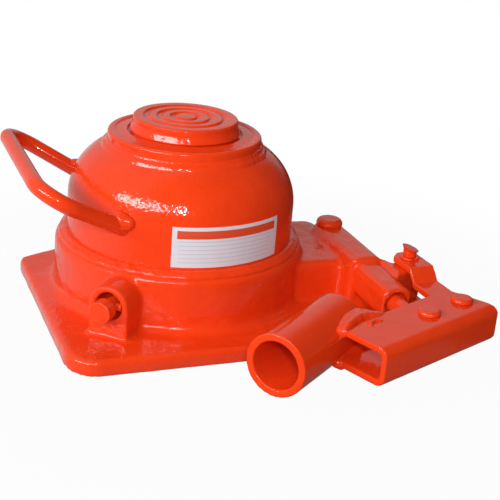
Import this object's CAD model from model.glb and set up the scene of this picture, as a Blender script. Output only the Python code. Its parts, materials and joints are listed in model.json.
"""Low-height hydraulic bottle jack in thick orange enamel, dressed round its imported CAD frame."""
import json
import math

import bpy
from mathutils import Matrix, Vector, noise

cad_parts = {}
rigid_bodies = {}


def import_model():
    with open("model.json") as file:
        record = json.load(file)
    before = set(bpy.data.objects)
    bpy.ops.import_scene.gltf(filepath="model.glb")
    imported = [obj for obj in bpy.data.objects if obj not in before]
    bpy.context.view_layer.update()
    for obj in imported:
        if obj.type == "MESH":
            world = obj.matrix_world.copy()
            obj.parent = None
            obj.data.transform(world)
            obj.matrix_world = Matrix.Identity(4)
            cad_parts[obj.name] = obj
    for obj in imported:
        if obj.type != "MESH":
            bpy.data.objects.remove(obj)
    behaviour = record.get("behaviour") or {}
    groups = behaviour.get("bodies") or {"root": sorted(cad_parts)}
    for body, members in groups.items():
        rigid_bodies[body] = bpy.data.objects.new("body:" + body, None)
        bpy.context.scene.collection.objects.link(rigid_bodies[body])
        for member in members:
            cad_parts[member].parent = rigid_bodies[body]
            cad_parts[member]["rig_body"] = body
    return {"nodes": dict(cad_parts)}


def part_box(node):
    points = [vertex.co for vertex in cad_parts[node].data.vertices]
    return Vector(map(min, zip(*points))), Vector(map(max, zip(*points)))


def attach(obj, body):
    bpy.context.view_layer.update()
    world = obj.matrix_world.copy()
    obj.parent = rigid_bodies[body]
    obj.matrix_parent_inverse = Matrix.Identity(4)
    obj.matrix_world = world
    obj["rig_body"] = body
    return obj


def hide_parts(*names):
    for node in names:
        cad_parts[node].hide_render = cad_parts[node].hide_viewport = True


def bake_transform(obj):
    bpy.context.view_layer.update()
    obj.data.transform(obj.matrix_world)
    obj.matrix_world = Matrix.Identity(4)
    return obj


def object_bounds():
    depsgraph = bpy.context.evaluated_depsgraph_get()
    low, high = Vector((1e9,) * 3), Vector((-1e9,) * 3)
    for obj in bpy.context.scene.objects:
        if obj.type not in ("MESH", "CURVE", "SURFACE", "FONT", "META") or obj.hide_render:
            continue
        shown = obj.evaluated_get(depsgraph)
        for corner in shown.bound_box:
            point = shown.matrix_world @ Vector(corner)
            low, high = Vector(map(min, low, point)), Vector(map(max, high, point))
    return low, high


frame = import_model()
CAD_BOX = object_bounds()
MM = 0.001
ROUND = 240  # steps round the tank, the collar and the ram
DROP_STEP = 1.5  # mm from one weld drop to the next

bl_info = {
    "name": "Bottle jack dresser",
    "version": (1, 0, 0),
    "blender": (4, 5, 0),
    "location": "View3D > Sidebar > Bottle jack",
    "description": "Castings, welds, pins, label and paint of a low-height bottle jack",
    "category": "Object",
}


class JackPaint(bpy.types.PropertyGroup):
    """Colours and finishes of the jack."""

    enamel: bpy.props.FloatVectorProperty(
        name="Enamel", description="Colour of the thick orange enamel",
        subtype="COLOR", size=3, min=0.0, max=1.0, default=(0.860, 0.052, 0.007))
    enamel_deep: bpy.props.FloatVectorProperty(
        name="Enamel, thick", description="Colour of the enamel where it has pooled",
        subtype="COLOR", size=3, min=0.0, max=1.0, default=(0.760, 0.037, 0.004))
    peel_size: bpy.props.FloatProperty(
        name="Peel size", description="Width of one bump of the orange peel",
        subtype="DISTANCE", unit="LENGTH", default=0.0020)
    peel_depth: bpy.props.FloatProperty(
        name="Peel depth", description="Depth of the orange peel",
        subtype="DISTANCE", unit="LENGTH", default=0.00011)
    label_white: bpy.props.FloatVectorProperty(
        name="Label", description="Colour of the bare label",
        subtype="COLOR", size=3, min=0.0, max=1.0, default=(0.69, 0.69, 0.75))
    label_band: bpy.props.FloatVectorProperty(
        name="Label band", description="Colour of the plain band on the label",
        subtype="COLOR", size=3, min=0.0, max=1.0, default=(0.70, 0.070, 0.022))


class JackForms(bpy.types.PropertyGroup):
    """Sizes of the turned, cast and welded forms."""

    tank_radius: bpy.props.FloatProperty(
        name="Tank radius", description="Outside radius of the oil tank",
        subtype="DISTANCE", unit="LENGTH", default=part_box("tank_shell")[1][0])
    tank_wall: bpy.props.FloatProperty(
        name="Tank wall", description="Thickness of the tank sheet",
        subtype="DISTANCE", unit="LENGTH", default=0.0035)
    shoulder_height: bpy.props.FloatProperty(
        name="Shoulder height", description="Height at which the shoulder starts",
        subtype="DISTANCE", unit="LENGTH", default=0.0713)
    shoulder_radius: bpy.props.FloatProperty(
        name="Shoulder radius", description="Radius of the shoulder curve",
        subtype="DISTANCE", unit="LENGTH", default=0.0384)
    collar_radius: bpy.props.FloatProperty(
        name="Collar radius", description="Outside radius of the collar",
        subtype="DISTANCE", unit="LENGTH", default=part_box("collar")[1][0])
    ram_radius: bpy.props.FloatProperty(
        name="Ram radius", description="Radius of the ram's rod",
        subtype="DISTANCE", unit="LENGTH", default=0.034)
    label_sweep: bpy.props.FloatProperty(
        name="Label sweep", description="Angle that the label covers round the tank",
        subtype="ANGLE", unit="ROTATION", default=math.radians(58.0))
    label_turn: bpy.props.FloatProperty(
        name="Label turn", description="Bearing of the label's middle",
        subtype="ANGLE", unit="ROTATION", default=math.radians(-82.75))
    lever_place: bpy.props.FloatVectorProperty(
        name="Lever place", description="Point on the lever's plunger pin, midway between the flanges",
        subtype="TRANSLATION", unit="LENGTH", size=3, default=(0.111, -0.146, 0.030))
    lever_turn: bpy.props.FloatProperty(
        name="Lever turn", description="Turn of the lever at rest",
        subtype="ANGLE", unit="ROTATION", default=math.radians(22.5))
    lug_place: bpy.props.FloatVectorProperty(
        name="Lug pin place", description="Point on the axis of the lug's pin",
        subtype="TRANSLATION", unit="LENGTH", size=3, default=(0.137, -0.071, 0.030))


class JackStage(bpy.types.PropertyGroup):
    """Camera and lamps."""

    eye: bpy.props.FloatVectorProperty(
        name="Eye", description="Place of the camera", subtype="TRANSLATION", unit="LENGTH",
        size=3, default=(-0.2284, -0.6797, 0.3222))
    aim: bpy.props.FloatVectorProperty(
        name="Aim", description="Point in the middle of the picture", subtype="TRANSLATION",
        unit="LENGTH", size=3, default=(0.0447, -0.0185, 0.0364))
    roll: bpy.props.FloatProperty(
        name="Roll", description="Turn of the camera about its own line of sight",
        subtype="ANGLE", unit="ROTATION", default=math.radians(4.75))
    lens: bpy.props.FloatProperty(
        name="Lens", description="Focal length in millimetres", default=82.2)
    key_power: bpy.props.FloatProperty(
        name="Key lamp", description="Power of the wide lamp at the left, in watts", default=11.2)
    flash_power: bpy.props.FloatProperty(
        name="Flash", description="Power of the small lamp over the camera, in watts", default=2.6)
    fill: bpy.props.FloatProperty(
        name="Fill", description="Strength of the soft light from the room", default=0.31)
    backdrop: bpy.props.FloatProperty(
        name="Backdrop", description="Strength of the white backdrop in the paint's reflections",
        default=0.55)


def pick_none():
    """Deselects every object."""
    if bpy.context.object and bpy.context.object.mode != "OBJECT":
        bpy.ops.object.mode_set(mode="OBJECT")
    bpy.ops.object.select_all(action="DESELECT")


def pick(obj):
    """Makes one object the selected and active one."""
    pick_none()
    obj.select_set(True)
    bpy.context.view_layer.objects.active = obj


def tool(obj, kind, **settings):
    """Adds a modifier to a piece and applies it."""
    pick(obj)
    mod = obj.modifiers.new(kind.title(), kind)
    for key, value in settings.items():
        setattr(mod, key, value)
    bpy.ops.object.modifier_apply(modifier=mod.name)


def smooth(obj, degrees=180.0):
    """Shades a piece smooth across edges under an angle."""
    pick(obj)
    if degrees >= 180.0:
        bpy.ops.object.shade_smooth()
    else:
        bpy.ops.object.shade_smooth_by_angle(angle=math.radians(degrees))


def stand_for(obj, nodes, material):
    """Paints a piece, lets it stand for CAD nodes and ride on their body."""
    obj.data.materials.clear()
    obj.data.materials.append(material)
    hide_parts(*nodes)
    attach(obj, frame["nodes"][nodes[0]]["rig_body"])
    return obj


def copy_of(node, name):
    """A loose copy of a CAD node's mesh with its doubles merged."""
    obj = bpy.data.objects.new(name, frame["nodes"][node].data.copy())
    bpy.context.scene.collection.objects.link(obj)
    pick(obj)
    bpy.ops.object.mode_set(mode="EDIT")
    bpy.ops.mesh.select_all(action="SELECT")
    bpy.ops.mesh.customdata_custom_splitnormals_clear()
    bpy.ops.mesh.remove_doubles(threshold=0.000004)
    bpy.ops.object.mode_set(mode="OBJECT")
    return obj


def joined(parts, name):
    """Several loose meshes made one piece."""
    pick(parts[0])
    for obj in parts[1:]:
        obj.select_set(True)
    bpy.ops.object.join()
    obj = bpy.context.object
    obj.name = obj.data.name = name
    return obj


def melted(obj, voxel, rounds):
    """Runs the solids of a piece into one skin and softens its edges as thick paint does. Voxel in mm."""
    tool(obj, "REMESH", mode="VOXEL", voxel_size=voxel * MM, adaptivity=0.0)
    tool(obj, "SMOOTH", factor=0.5, iterations=rounds)
    smooth(obj)
    return obj


def lumped(obj, depth, size, seed, weight=None):
    """Raises cast or welded lumps (sizes in mm), more at some bearings, inside the CAD box."""
    lift = Vector((seed, 2.0 * seed, 3.0 * seed))
    ways = [n.vector.copy() for n in obj.data.vertex_normals]
    for v, way in zip(obj.data.vertices, ways):
        tall = depth * MM * noise.fractal(v.co / (size * MM) + lift, 0.8, 2.0, 3)
        if weight:
            tall *= weight(math.degrees(math.atan2(v.co.y, v.co.x)))
        spot = v.co + way * tall
        v.co = [min(max(c, low), high) for c, low, high in zip(spot, *CAD_BOX)]
    return obj


def softened(nodes, name, voxel, rounds, lumps=None):
    """Copies of nodes run into one piece, with thick paint's soft edges and cast or welded lumps."""
    obj = joined([copy_of(node, name) for node in nodes], name)
    melted(obj, voxel, rounds)
    return lumped(obj, *lumps) if lumps else obj


def drops(name, runs, place, voxel, rounds):
    """Weld metal from drops laid along runs (centres and half sizes in mm) that have run together."""
    parts = []
    for run in runs:
        beads = [Vector(row) for row in run]
        for one, two in zip(beads, beads[1:]):
            steps = max(1, math.ceil((two - one).length / DROP_STEP))
            for k in range(steps + 1):
                row = one.lerp(two, k / steps)
                pick_none()
                bpy.ops.mesh.primitive_ico_sphere_add(subdivisions=2, radius=MM, location=(0, 0, 0))
                obj = bpy.context.object
                spot = Matrix.Translation(Vector(row[:3]) * MM)
                obj.data.transform(place @ spot @ Matrix.Diagonal((row[3], row[4], row[5], 1.0)))
                parts.append(obj)
    return melted(joined(parts, name), voxel, rounds)


def rounded(points):
    """Closed profile in mm from corners (radius, height, rounding)."""
    out = []
    count = len(points)
    for i, (r, z, f) in enumerate(points):
        p = Vector((r, z))
        if f <= 0.0:
            out.append(p)
            continue
        a = (Vector(points[i - 1][:2]) - p).normalized()
        b = (Vector(points[(i + 1) % count][:2]) - p).normalized()
        half = a.angle(b) / 2.0
        reach = f / math.tan(half)
        centre = p + (a + b).normalized() * (f / math.sin(half))
        start, end = p + a * reach - centre, p + b * reach - centre
        turn = start.angle_signed(end)
        steps = max(3, int(abs(turn) / math.radians(11.0)))
        for k in range(steps + 1):
            out.append(centre + Matrix.Rotation(-turn * k / steps, 2) @ start)
    return out


def turned(name, profile):
    """A solid of revolution about Z, spun from a closed profile in mm."""
    mesh = bpy.data.meshes.new(name)
    count = len(profile)
    mesh.from_pydata([(p[0] * MM, 0.0, p[1] * MM) for p in profile],
                     [(i, (i + 1) % count) for i in range(count)], [])
    obj = bpy.data.objects.new(name, mesh)
    bpy.context.scene.collection.objects.link(obj)
    pick(obj)
    bpy.ops.object.mode_set(mode="EDIT")
    bpy.ops.mesh.select_all(action="SELECT")
    bpy.ops.mesh.spin(steps=ROUND, angle=2.0 * math.pi, center=(0, 0, 0), axis=(0, 0, 1))
    bpy.ops.mesh.select_all(action="SELECT")
    bpy.ops.mesh.remove_doubles(threshold=0.000005)
    bpy.ops.mesh.normals_make_consistent(inside=False)
    bpy.ops.object.mode_set(mode="OBJECT")
    smooth(obj, 38.0)
    return obj


def bead_ring(name, runs, lumps):
    """A weld laid round the jack in runs (radius, height, half size in mm), uneven at some bearings."""
    parts = []
    for radius, height, half in runs:
        pick_none()
        bpy.ops.mesh.primitive_torus_add(
            major_segments=ROUND, minor_segments=20, major_radius=radius * MM, minor_radius=half * MM)
        obj = bpy.context.object
        obj.data.transform(Matrix.Translation((0, 0, height * MM)))
        parts.append(obj)
    obj = melted(joined(parts, name), 0.7, 6)
    for row in lumps:
        lumped(obj, *row)
    return obj


def near(middle, width):
    """A weight that is one at a bearing in degrees and falls to nothing a width away."""
    def weight(bearing):
        off = abs((bearing - middle + 180.0) % 360.0 - 180.0)
        return max(0.0, 1.0 - (off / width) ** 2)
    return weight


class Field:
    """A shader value that takes part in Python expressions."""

    def __init__(self, tree, socket):
        self.tree = tree
        self.socket = socket

    def _math(self, operation, first, second):
        node = self.tree.nodes.new("ShaderNodeMath")
        node.operation = operation
        for socket, value in zip(node.inputs, (first, second)):
            if isinstance(value, Field):
                self.tree.links.new(value.socket, socket)
            else:
                socket.default_value = value
        return Field(self.tree, node.outputs[0])

    def __add__(self, other):
        return self._math("ADD", self, other)

    __radd__ = __add__

    def __sub__(self, other):
        return self._math("SUBTRACT", self, other)

    def __rsub__(self, other):
        return self._math("SUBTRACT", other, self)

    def __mul__(self, other):
        return self._math("MULTIPLY", self, other)

    __rmul__ = __mul__

    def __gt__(self, other):
        return self._math("GREATER_THAN", self, other)

    def __lt__(self, other):
        return self._math("LESS_THAN", self, other)

    def larger(self, other):
        """The larger of two values."""
        return self._math("MAXIMUM", self, other)

    def within(self, low, high):
        """One between two values, else nothing."""
        return (self > low) * (self < high)


class Finish:
    """A node tree that is filled by expressions."""

    def __init__(self, owner):
        owner.use_nodes = True
        self.owner = owner
        self.tree = owner.node_tree
        self.tree.nodes.clear()

    def node(self, kind, settings=None, sockets=None, out=0):
        """Adds a node: its settings first, then the values or links of its sockets."""
        node = self.tree.nodes.new(kind)
        for key, value in (settings or {}).items():
            setattr(node, key, value)
        for key, value in (sockets or {}).items():
            socket = node.inputs[key]
            if isinstance(value, Field):
                self.tree.links.new(value.socket, socket)
            else:
                socket.default_value = value
        return Field(self.tree, node.outputs[out]) if len(node.outputs) else None

    def place(self, output="Object"):
        """The piece's own coordinates."""
        return self.node("ShaderNodeTexCoord", out=output)

    def grain(self, where, size, detail=2.0, rough=0.5, out="Fac"):
        """Noise with bumps of one size in metres."""
        return self.node("ShaderNodeTexNoise", None, {
            "Vector": where, "Scale": 1.0 / size, "Detail": detail, "Roughness": rough}, out=out)

    def blend(self, factor, first, second):
        """Mixes two colours."""
        sockets = {0: factor, 6: first, 7: second}
        return self.node("ShaderNodeMix", {"data_type": "RGBA"}, sockets, out=2)

    def bump(self, height, depth, after=None):
        """A normal bent by a height field that is one depth tall."""
        sockets = {"Height": height, "Distance": depth, "Strength": 1.0}
        if after is not None:
            sockets["Normal"] = after
        return self.node("ShaderNodeBump", None, sockets, out="Normal")

    def ease(self, value, low, high, first=0.0, last=1.0):
        """Eases from a first to a last number while a value goes from low to high."""
        return self.node("ShaderNodeMapRange", {"interpolation_type": "SMOOTHSTEP"}, {
            "Value": value, "From Min": low, "From Max": high, "To Min": first, "To Max": last})

    def surface(self, **sockets):
        """Ends a material in one principled shader."""
        named = {key.replace("_", " ").title().replace("Ior", "IOR"): value for key, value in sockets.items()}
        shader = self.node("ShaderNodeBsdfPrincipled", None, named, out="BSDF")
        self.node("ShaderNodeOutputMaterial", None, {"Surface": shader})
        return self.owner


def rgb(colour):
    """A colour property as four numbers."""
    return tuple(colour) + (1.0,)


def enamel(name, wave, lumpy, share=1.0):
    """Thick orange enamel: orange peel, a slow wave of the metal below and pooled colour."""
    paint = bpy.context.scene.jack_paint
    f = Finish(bpy.data.materials.new(name))
    where = f.place()
    peel = f.grain(where, paint.peel_size, 1.5, 0.45)
    slow = f.grain(where, wave, 2.0, 0.5)
    pool = f.grain(where, 0.030, 3.0, 0.6)
    fine = f.grain(where, 0.0011, 1.0, 0.4)
    colour = f.blend((pool - 0.35) * 1.6, rgb(paint.enamel), rgb(paint.enamel_deep))
    gloss = 0.05 + 0.06 * pool + 0.04 * fine
    normal = f.bump(slow, lumpy)
    normal = f.bump(peel, paint.peel_depth * 2.0 * share, normal)
    return f.surface(base_color=colour, roughness=gloss, normal=normal, specular_ior_level=0.42)


def bright_steel():
    """Machined steel with fine turning marks."""
    f = Finish(bpy.data.materials.new("Bright_steel"))
    where = f.place()
    along = f.node("ShaderNodeMapping", None, {"Vector": where, "Scale": (1.0, 1.0, 14.0)})
    marks = f.grain(along, 0.004, 3.0)
    cloud = f.grain(where, 0.012, 3.0)
    colour = f.blend(cloud, (0.58, 0.58, 0.60, 1.0), (0.42, 0.42, 0.44, 1.0))
    return f.surface(base_color=colour, roughness=0.24 + 0.22 * marks, metallic=1.0,
                     normal=f.bump(marks, 0.00002))


def seal_rubber():
    """Oil-wet black rubber."""
    f = Finish(bpy.data.materials.new("Seal_rubber"))
    cloud = f.grain(f.place(), 0.002, 4.0)
    colour = f.blend(cloud, (0.012, 0.012, 0.013, 1.0), (0.035, 0.034, 0.033, 1.0))
    return f.surface(base_color=colour, roughness=0.42 + 0.2 * cloud, normal=f.bump(cloud, 0.00003))


def bronze():
    """Bearing bronze, dulled by oil."""
    f = Finish(bpy.data.materials.new("Bearing_bronze"))
    cloud = f.grain(f.place(), 0.003, 4.0)
    colour = f.blend(cloud, (0.62, 0.36, 0.13, 1.0), (0.40, 0.21, 0.07, 1.0))
    return f.surface(base_color=colour, roughness=0.3 + 0.2 * cloud, metallic=1.0,
                     normal=f.bump(cloud, 0.00002))


def seal_polymer():
    """Ivory backing ring."""
    f = Finish(bpy.data.materials.new("Seal_polymer"))
    cloud = f.grain(f.place(), 0.004, 3.0)
    colour = f.blend(cloud, (0.72, 0.66, 0.52, 1.0), (0.62, 0.55, 0.41, 1.0))
    return f.surface(base_color=colour, roughness=0.45 + 0.15 * cloud, normal=f.bump(cloud, 0.00002))


def label_film():
    """White film with one plain band and pale ruled lines, and nothing written on it."""
    paint = bpy.context.scene.jack_paint
    f = Finish(bpy.data.materials.new("Label_film"))
    across, up = [f.node("ShaderNodeSeparateXYZ", None, {"Vector": f.place("UV")}, out=axis) for axis in "XY"]
    foot, lines = 0.075, 9.6
    band = across.within(0.040, 0.960) * up.within(0.715, 0.915)
    line = f.node("ShaderNodeMath", {"operation": "FRACT"}, {0: (up - foot) * lines})
    rules = line.within(0.40, 0.60) * up.within(foot, 0.69) * across.within(0.055, 0.90)
    film = f.grain(f.place(), 0.004, 2.0)
    paper = f.blend(film, rgb(paint.label_white), rgb([c * 0.94 for c in paint.label_white]))
    ruled = f.blend(rules * 0.35, paper, (0.30, 0.30, 0.36, 1.0))
    colour = f.blend(band, ruled, rgb(paint.label_band))
    return f.surface(base_color=colour, roughness=0.30 + 0.08 * film, normal=f.bump(film, 0.00001))


MATERIALS = {}


class JACK_OT_finishes(bpy.types.Operator):
    """Mixes the finishes and gives every CAD node its own."""

    bl_idname = "jack.finishes"
    bl_label = "Mix finishes"

    def execute(self, context):
        MATERIALS.update(
            casting=enamel("Enamel_on_casting", 0.016, 0.0009),
            sheet=enamel("Enamel_on_sheet", 0.022, 0.0005),
            weld=enamel("Enamel_on_weld", 0.009, 0.0004),
            strip=enamel("Enamel_on_strip", 0.030, 0.0005, 0.3),
            steel=bright_steel(), rubber=seal_rubber(), bronze=bronze(),
            polymer=seal_polymer(), label=label_film())
        kinds = {
            "rubber": ("pump_seal", "ram_cup_seal", "release_oring", "filler_plug"),
            "bronze": ("guide_bush", "suction_strainer", "cylinder_gasket"),
            "polymer": ("ram_backup_ring",),
            "steel": ("pressure_cylinder", "delivery_plug", "relief_screw", "release_ball", "suction_spring",
                      "delivery_spring", "relief_spring", "suction_ball", "delivery_ball", "relief_ball",
                      "ram_retainer", "ram_screw"),
        }
        chosen = {node: kind for kind, nodes in kinds.items() for node in nodes}
        for name, obj in frame["nodes"].items():
            obj.data.materials.clear()
            obj.data.materials.append(MATERIALS[chosen.get(name, "sheet")])
        return {"FINISHED"}


class JACK_OT_castings(bpy.types.Operator):
    """Softens the base, pump and release castings as thick paint does."""

    bl_idname = "jack.castings"
    bl_label = "Paint castings"

    def execute(self, context):
        rows = (
            (("base_casting", "pump_barrel"), "base_body", 1.2, 7, (0.16, 11.0, 3.0)),
            (("valve_plug",), "valve_cap", 0.5, 6, None),
            (("release_stem",), "release_stem_body", 0.45, 4, None),
            (("release_pin",), "release_cross_pin", 0.4, 4, None),
        )
        for nodes, name, voxel, rounds, lumps in rows:
            obj = softened(nodes, name, voxel, rounds, lumps)
            stand_for(obj, nodes, MATERIALS["casting"])
        return {"FINISHED"}


class JACK_OT_tank(bpy.types.Operator):
    """Spins the tank, the collar, and the ram's bright rod and painted head."""

    bl_idname = "jack.tank"
    bl_label = "Spin tank, collar and ram"

    def execute(self, context):
        forms = context.scene.jack_forms
        self.dome(forms)
        self.collar(forms)
        self.ram(forms)
        return {"FINISHED"}

    def dome(self, forms):
        """The tank's sheet: a straight foot and a round shoulder, up to the pressure cylinder."""
        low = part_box("tank_shell")[0][2] / MM
        r, wall = forms.tank_radius / MM, forms.tank_wall / MM
        z, s = forms.shoulder_height / MM, forms.shoulder_radius / MM
        mid = r - s
        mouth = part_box("pressure_cylinder")[1][0] / MM + 0.3
        steps = 30
        skins = []
        for reach in (s, s - wall):
            stop = math.acos((mouth - mid) / reach)
            turns = [stop * k / steps for k in range(steps + 1)]
            skins.append([Vector((mid + reach * math.cos(t), z + reach * math.sin(t))) for t in turns])
        outer, inner = skins
        obj = turned("tank_dome", [Vector((r - wall, low)), Vector((r, low))] + outer + inner[::-1])
        stand_for(obj, ["tank_shell"], MATERIALS["sheet"])

    def collar(self, forms):
        """The collar: its threaded foot, rounded lip and shallow face, and the seat of the wiper."""
        low, top = [corner[2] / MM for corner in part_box("collar")]
        r, ram = forms.collar_radius / MM, forms.ram_radius / MM
        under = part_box("pressure_cylinder")[1][2] / MM
        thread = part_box("cylinder_gasket")[1][0] / MM - 9.0
        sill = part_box("wiper_ring")[0][2] / MM
        face, gap, wiper = r - 5.4, ram + 0.6, ram + 3.0
        corners = [
            (gap, low, 0.0), (thread, low, 0.0), (thread, under, 0.0), (r, under, 0.0), (r, top, 2.0),
            (face + 1.2, top, 1.0), (face, top - 0.8, 0.8), (wiper + 0.3, top + 0.5, 0.9),
            (wiper, top - 1.5, 0.0), (wiper, sill, 0.0), (gap, sill, 0.0)]
        stand_for(turned("collar_ring", rounded(corners)), ["collar"], MATERIALS["sheet"])

    def ram(self, forms):
        """The ram: a bright rod with its piston, and a painted head with a flared foot and grip grooves."""
        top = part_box("collar")[1][2] / MM
        foot, crown = [corner[2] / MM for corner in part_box("ram")]
        r, piston = forms.ram_radius / MM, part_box("ram")[1][0] / MM
        seat, piston_low, piston_high = 26.0, 34.0, 44.0
        rod_end, ledge, skirt, paint = top + 1.2, top + 0.7, top - 4.0, 0.02
        rod = [
            (0.0, foot, 0.0), (seat, foot, 0.0), (seat, piston_low, 0.0), (piston, piston_low, 0.6),
            (piston, piston_high, 0.6), (r, piston_high, 0.0), (r, rod_end, 0.0), (0.0, rod_end, 0.0)]
        stand_for(turned("ram_rod", rounded(rod)), ["ram"], MATERIALS["steel"])
        head = [
            (0.0, skirt, 0.0), (r + paint, skirt, 0.0), (r + paint, ledge, 0.0), (r + 1.9, ledge, 0.3),
            (r + 1.9, top + 1.4, 0.3), (r + 0.3, top + 5.0, 1.2), (r, top + 6.6, 0.8), (r, crown, 1.4)]
        wide, deep, slope, soft = 1.2, 1.2, 1.1, 0.7
        for k in (3, 2, 1):
            out = r * k / 4.0
            head += [(out + wide + slope, crown, soft), (out + wide, crown - deep, soft),
                     (out - wide, crown - deep, soft), (out - wide - slope, crown, soft)]
        head.append((0.0, crown, 0.0))
        stand_for(turned("ram_head", rounded(head)), ["ram"], MATERIALS["sheet"])


# Runs of weld metal in mm: centres, then half sizes. The socket and spatter runs are in the lever's frame.
FRONT_RUNS = (
    ((-50.8, -55.0, 75.0, 4.4, 4.2, 4.4), (-53.8, -52.6, 76.8, 5.6, 5.2, 5.0),
     (-56.2, -50.2, 78.6, 4.6, 4.6, 4.0)),
    ((-53.8, -52.6, 76.0, 5.0, 5.0, 4.6), (-54.6, -53.2, 73.5, 4.4, 4.4, 3.8)),
)
REAR_RUNS = (
    ((-59.6, 52.4, 79.0, 4.2, 4.2, 3.4), (-56.0, 51.0, 78.2, 5.0, 5.0, 4.6),
     (-52.6, 49.0, 80.0, 4.8, 4.8, 4.0)),
    ((-58.9, 48.1, 74.6, 2.8, 2.8, 2.8), (-57.0, 48.6, 75.6, 3.0, 3.0, 3.0)),
    ((-55.5, 55.5, 74.0, 3.6, 3.6, 4.0), (-54.5, 51.0, 67.6, 4.2, 4.2, 2.8)),
)
SOCKET_RUNS = (
    ((-60.0, 16.5, 10.2, 3.6, 3.8, 3.4), (-54.0, 19.4, 11.4, 4.0, 4.0, 3.4),
     (-45.0, 22.0, 12.0, 4.6, 4.4, 3.4), (-37.0, 22.6, 11.8, 4.6, 4.4, 3.4),
     (-31.0, 20.6, 11.2, 4.2, 4.2, 3.0), (-24.0, 17.2, 10.2, 3.6, 3.4, 2.4)),
    ((-54.0, 22.5, 10.4, 4.5, 5.0, 4.0), (-45.0, 26.0, 11.2, 6.0, 6.0, 3.8),
     (-37.0, 26.5, 11.0, 5.5, 6.0, 3.8), (-31.0, 23.5, 10.4, 4.5, 5.0, 3.2)),
    ((-59.5, 14.0, 10.4, 2.6, 2.6, 3.4), (-54.0, 16.2, 11.8, 3.0, 2.8, 3.4),
     (-47.0, 18.4, 12.5, 3.0, 2.8, 3.2), (-40.0, 19.6, 12.5, 3.0, 2.8, 3.2),
     (-34.0, 19.0, 12.0, 3.0, 2.8, 3.0), (-27.0, 16.5, 11.0, 2.6, 2.6, 2.4)),
    ((-57.0, 18.5, 8.0, 3.0, 3.5, 4.0), (-44.0, 22.0, 8.0, 6.0, 6.0, 4.5),
     (-33.0, 21.5, 8.0, 5.0, 5.5, 4.5), (-25.0, 17.5, 8.2, 3.0, 3.0, 3.5)),
)
SPATTER_RUNS = (
    ((-42.5, 9.0, 11.8, 1.9, 1.9, 1.3), (-40.0, 11.8, 12.0, 2.1, 2.1, 1.6),
     (-36.0, 12.2, 12.1, 2.1, 2.1, 1.6), (-33.0, 10.0, 11.8, 1.9, 1.9, 1.3)),
    ((-61.0, 15.2, 6.5, 0.9, 0.9, 0.9), (-72.0, 12.3, 6.5, 0.8, 0.8, 0.8),
     (-82.0, 9.5, 6.5, 0.6, 0.6, 0.6)),
)


class JACK_OT_welds(bpy.types.Operator):
    """Lays the weld beads of the tank, collar, carry handle and socket."""

    bl_idname = "jack.welds"
    bl_label = "Lay welds"

    def execute(self, context):
        forms = context.scene.jack_forms
        self.tank_bead(forms.tank_radius / MM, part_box("tank_weld")[0][2] / MM)
        self.collar_bead(forms.collar_radius / MM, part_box("pressure_cylinder")[1][2] / MM)
        here = Matrix.Identity(4)
        lever = Matrix.Translation(forms.lever_place) @ Matrix.Rotation(forms.lever_turn, 4, "Z")
        under = [[(u, v, -z, a, b, c) for u, v, z, a, b, c in run] for run in SOCKET_RUNS]
        rows = (
            ("handle_weld_front", "carry_bead_front", FRONT_RUNS, here),
            ("handle_weld_rear", "carry_bead_rear", REAR_RUNS, here),
            ("socket_weld_top", "socket_bead_top", SOCKET_RUNS + SPATTER_RUNS, lever),
            ("socket_weld_bottom", "socket_bead_bottom", under, lever),
        )
        for node, name, runs, place in rows:
            obj = drops(name, runs, place, 0.6, 9)
            lumped(obj, 0.25, 5.0, 3.0)
            stand_for(obj, [node], MATERIALS["weld"])
        return {"FINISHED"}

    def tank_bead(self, radius, height):
        """The bead at the tank's foot: two round runs, rough where the welder stopped."""
        runs = [(radius + 0.6, height + 0.7, 3.5), (radius + 3.6, height + 0.1, 2.3)]
        lumps = [
            (0.25, 9.0, 1.0), (0.9, 5.0, 6.0, near(-132.0, 22.0)), (0.8, 5.0, 8.0, near(60.0, 90.0))]
        ring = bead_ring("tank_bead", runs, lumps)
        stand_for(ring, ["tank_weld"], MATERIALS["weld"])

    def collar_bead(self, radius, height):
        """The bead under the collar: two dressed flats, rougher at the right and the back."""
        flats = [(-1.4, 1.8, 0.0), (0.5, 1.8, 0.5), (1.5, -0.5, 0.6), (3.0, -1.1, 0.5), (4.6, -4.7, 0.6),
                 (3.5, -6.3, 0.0), (-1.4, -4.8, 0.0)]
        ring = turned("collar_bead", rounded([(radius + r, height + z, f) for r, z, f in flats]))
        melted(ring, 0.6, 3)
        lumped(ring, 0.06, 10.0, 4.0)
        lumped(ring, 0.7, 8.0, 2.0, near(-25.0, 55.0))
        lumped(ring, 0.6, 8.0, 5.0, near(120.0, 60.0))
        stand_for(ring, ["collar_weld"], MATERIALS["sheet"])


class JACK_OT_fabrications(bpy.types.Operator):
    """Softens the carry handle, lever channel, socket and links."""

    bl_idname = "jack.fabrications"
    bl_label = "Paint bent and cut steel"

    def execute(self, context):
        rows = (
            ("carry_handle", "carry_bar", 0.6, 5, None),
            ("lever_channel", "lever_body", 0.7, 5, (0.05, 14.0, 2.0)),
            ("handle_socket", "socket_tube", 0.7, 4, (0.04, 12.0, 4.0)),
            ("link_upper", "link_strip_upper", 0.5, 4, (0.10, 9.0, 1.0)),
            ("link_lower", "link_strip_lower", 0.5, 4, (0.10, 9.0, 8.0)),
            ("pump_plunger", "plunger_rod", 0.6, 4, None),
        )
        for node, name, voxel, rounds, lumps in rows:
            obj = softened([node], name, voxel, rounds, lumps)
            stand_for(obj, [node], MATERIALS["strip"])
        return {"FINISHED"}


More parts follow.
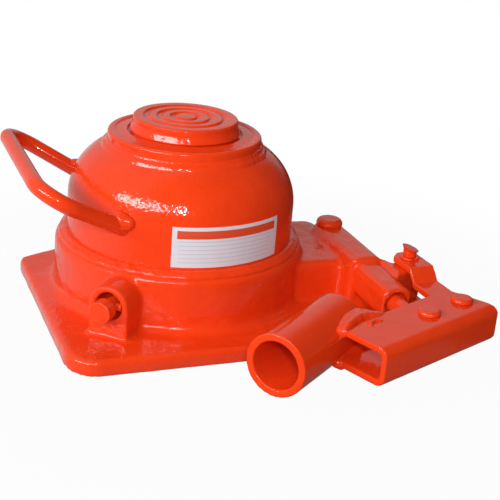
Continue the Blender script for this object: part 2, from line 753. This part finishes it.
class JACK_OT_pins(bpy.types.Operator):
    """Softens the riveted pins of the lever and links."""

    bl_idname = "jack.pins"
    bl_label = "Paint pins"

    def execute(self, context):
        rows = (
            ("plunger_pin", "plunger_rivet", 0.45, 4, (0.10, 5.0, 2.0)),
            ("fulcrum_pin", "fulcrum_rivet", 0.45, 4, (0.10, 5.0, 7.0)),
            ("lug_pin", "lug_rivet", 0.4, 4, (0.12, 4.0, 4.0)),
            ("lug_clip_top", "lug_ring_top", 0.35, 3, None),
            ("lug_clip_bottom", "lug_ring_bottom", 0.35, 3, None),
        )
        for node, name, voxel, rounds, lumps in rows:
            obj = softened([node], name, voxel, rounds, lumps)
            if node == "lug_pin":
                self.sheared_end(obj, context.scene.jack_forms.lug_place)
            stand_for(obj, [node], MATERIALS["sheet"])
        return {"FINISHED"}

    def sheared_end(self, obj, axis):
        """Slants the sawn top of the lug's pin, away from the tank."""
        top = max(v.co.z for v in obj.data.vertices)
        fall = Vector((0.948, -0.319, 0.0)) * 0.35
        reach, loss = 0.006, 0.0012
        for v in obj.data.vertices:
            share = max(0.0, (v.co.z - top + reach) / reach)
            v.co.z -= share * (fall.dot(v.co - Vector(axis)) + loss)


class JACK_OT_springs(bpy.types.Operator):
    """Lets each valve spring shorten as its ball lifts."""

    bl_idname = "jack.springs"
    bl_label = "Coil valve springs"

    def execute(self, context):
        rows = (
            ("suction_spring", "suction_coil", "suction_ball", 1),
            ("delivery_spring", "delivery_coil", "delivery_ball", 0),
            ("relief_spring", "relief_coil", "relief_ball", 0),
        )
        for node, name, ball, fixed in rows:
            obj = copy_of(node, name)
            smooth(obj, 40.0)
            obj.data.materials.clear()
            obj.data.materials.append(MATERIALS["steel"])
            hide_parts(node)
            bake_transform(obj)
        return {"FINISHED"}


class JACK_OT_label(bpy.types.Operator):
    """Sticks the bare label on the tank."""

    bl_idname = "jack.label"
    bl_label = "Stick label"

    def execute(self, context):
        forms = context.scene.jack_forms
        low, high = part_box("label_panel")[0][2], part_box("label_panel")[1][2]
        across, up = 96, 28
        pick_none()
        bpy.ops.mesh.primitive_grid_add(
            x_subdivisions=across, y_subdivisions=up, size=1.0, location=(0, 0, 0))
        obj = bpy.context.object
        obj.name = obj.data.name = "label_film"
        mid = forms.tank_radius - forms.shoulder_radius
        proud = 0.00004
        for v in obj.data.vertices:
            turn = forms.label_turn + forms.label_sweep * v.co.x
            z = low + (high - low) * (v.co.y + 0.5)
            r = forms.tank_radius + proud
            if z > forms.shoulder_height:
                reach = forms.shoulder_radius + proud
                r = mid + math.sqrt(reach ** 2 - (z - forms.shoulder_height) ** 2)
            v.co = (r * math.cos(turn), r * math.sin(turn), z)
        tool(obj, "SOLIDIFY", thickness=0.00026, offset=1.0)
        smooth(obj, 40.0)
        stand_for(obj, ["label_panel"], MATERIALS["label"])
        return {"FINISHED"}


class JACK_OT_stage(bpy.types.Operator):
    """Sets the floor, the white room, the lamps and the camera."""

    bl_idname = "jack.stage"
    bl_label = "Set stage"

    def execute(self, context):
        stage = context.scene.jack_stage
        self.floor()
        self.room(context.scene, stage)
        lamps = (
            ("Key_lamp", (-0.020, -0.030, 0.080), -150.0, 27.0, 1.15, (1.05, 0.17), stage.key_power),
            ("Flash", (-0.022, -0.068, 0.086), -108.0, 25.9, 0.95, (0.045, 0.045), stage.flash_power),
        )
        for row in lamps:
            self.lamp(*row)
        self.camera(context.scene, stage)
        context.scene.view_settings.view_transform = "Standard"
        return {"FINISHED"}

    def floor(self):
        """Pale paper that is white to the camera, keeps a faint shadow, and darkens in the paint's gloss."""
        pick_none()
        bpy.ops.mesh.primitive_circle_add(
            vertices=96, radius=6.0, fill_type="NGON", location=(0, 0, -0.0002))
        floor = bpy.context.object
        floor.name = "studio_floor"
        bpy.ops.object.transform_apply(location=True, rotation=True, scale=True)
        f = Finish(bpy.data.materials.new("Studio_floor"))
        camera, mirror = self.rays(f)
        paper = f.node("ShaderNodeBsdfDiffuse", None, {"Color": (0.45, 0.45, 0.45, 1.0)})
        reach = f.node("ShaderNodeVectorMath", {"operation": "DISTANCE"}, {
            0: f.place(), 1: (0.03, -0.05, 0.0)}, out="Value")
        far = f.ease(reach, 0.19, 0.38)
        shades = []
        for axis, sign, start, most in (("X", 1.0, 0.10, 0.98), ("Y", -1.0, 0.05, 0.86)):
            along = f.node("ShaderNodeSeparateXYZ", None, {"Vector": f.place()}, out=axis) * sign
            shades.append(f.ease(along, start, start + 0.10, 0.35, most))
        dark = shades[0].larger(shades[1]) * mirror
        tint = f.blend(dark, (1.0, 1.0, 1.0, 1.0), (0.0, 0.0, 0.0, 1.0))
        white = f.node("ShaderNodeEmission", None, {"Color": tint, "Strength": 1.0})
        share = camera * (0.96 + 0.04 * far) + mirror
        mixed = f.node("ShaderNodeMixShader", None, {0: share, 1: paper, 2: white})
        f.node("ShaderNodeOutputMaterial", None, {"Surface": mixed})
        floor.data.materials.append(f.owner)

    def room(self, scene, stage):
        """White to the camera, a soft fill to the paint, and a backdrop in the paint's gloss."""
        scene.world = bpy.data.worlds.new("White_room")
        w = Finish(scene.world)
        camera, mirror = self.rays(w)
        behind = w.node("ShaderNodeVectorMath", {"operation": "DOT_PRODUCT"}, {
            0: w.place("Generated"), 1: (-0.64, 0.77, 0.0)}, out="Value")
        shine = w.ease(behind, -0.15, 0.35, 0.04, stage.backdrop)
        strength = camera + (1.0 - camera) * (mirror * shine + (1.0 - mirror) * stage.fill)
        both = w.node("ShaderNodeBackground", None, {"Color": (1.0, 1.0, 1.0, 1.0), "Strength": strength})
        w.node("ShaderNodeOutputWorld", None, {"Surface": both})

    def rays(self, f):
        """Masks of the rays from the camera, and of those that show the backdrop in gloss or glass."""
        path = f.tree.nodes.new("ShaderNodeLightPath")
        camera, gloss, glass = [Field(f.tree, path.outputs[n]) for n in
                                ("Is Camera Ray", "Is Glossy Ray", "Is Transmission Ray")]
        return camera, gloss.larger(glass)

    def lamp(self, name, aim, bearing, height, reach, size, power):
        """A soft rectangular lamp, aimed at a point from a bearing and a height in degrees."""
        data = bpy.data.lights.new(name, "AREA")
        data.shape = "RECTANGLE"
        data.size, data.size_y = size
        data.energy = power
        obj = bpy.data.objects.new(name, data)
        bpy.context.scene.collection.objects.link(obj)
        b, h = math.radians(bearing), math.radians(height)
        off = Vector((math.cos(h) * math.cos(b), math.cos(h) * math.sin(b), math.sin(h))) * reach
        turn = (-off).to_track_quat("-Z", "Y").to_matrix().to_4x4()
        obj.matrix_world = Matrix.Translation(Vector(aim) + off) @ turn

    def camera(self, scene, stage):
        """The photo's camera, fitted to the outlines of the jack."""
        eye, aim = Vector(stage.eye), Vector(stage.aim)
        lens = bpy.data.cameras.new("Photo_camera")
        lens.lens = stage.lens
        lens.sensor_width = 36.0
        camera = bpy.data.objects.new("Photo_camera", lens)
        scene.collection.objects.link(camera)
        turn = (aim - eye).to_track_quat("-Z", "Y").to_matrix().to_4x4()
        camera.matrix_world = Matrix.Translation(eye) @ turn @ Matrix.Rotation(stage.roll, 4, "Z")
        scene.camera = camera


STEPS = (JACK_OT_finishes, JACK_OT_castings, JACK_OT_tank, JACK_OT_welds, JACK_OT_fabrications,
         JACK_OT_pins, JACK_OT_springs, JACK_OT_label, JACK_OT_stage)


class JACK_PT_panel(bpy.types.Panel):
    """Lists the steps that dress the jack, and their sizes."""

    bl_idname = "JACK_PT_panel"
    bl_label = "Bottle jack"
    bl_space_type = "VIEW_3D"
    bl_region_type = "UI"
    bl_category = "Bottle jack"

    def draw(self, context):
        for group in ("jack_paint", "jack_forms", "jack_stage"):
            settings = getattr(context.scene, group)
            for key in settings.__annotations__:
                self.layout.prop(settings, key)
        for step in STEPS:
            self.layout.operator(step.bl_idname)


GROUPS = {"jack_paint": JackPaint, "jack_forms": JackForms, "jack_stage": JackStage}


def register():
    """Registers the settings, the steps and the panel."""
    for name, group in GROUPS.items():
        bpy.utils.register_class(group)
        setattr(bpy.types.Scene, name, bpy.props.PointerProperty(type=group))
    for cls in STEPS + (JACK_PT_panel,):
        bpy.utils.register_class(cls)


def unregister():
    """Removes what register added."""
    for cls in (JACK_PT_panel,) + STEPS[::-1]:
        bpy.utils.unregister_class(cls)
    for name, group in GROUPS.items():
        delattr(bpy.types.Scene, name)
        bpy.utils.unregister_class(group)


def main():
    """Dresses the jack step by step and notes its size."""
    register()
    for step in STEPS:
        group, name = step.bl_idname.split(".")
        getattr(getattr(bpy.ops, group), name)()


if __name__ == "__main__":
    main()
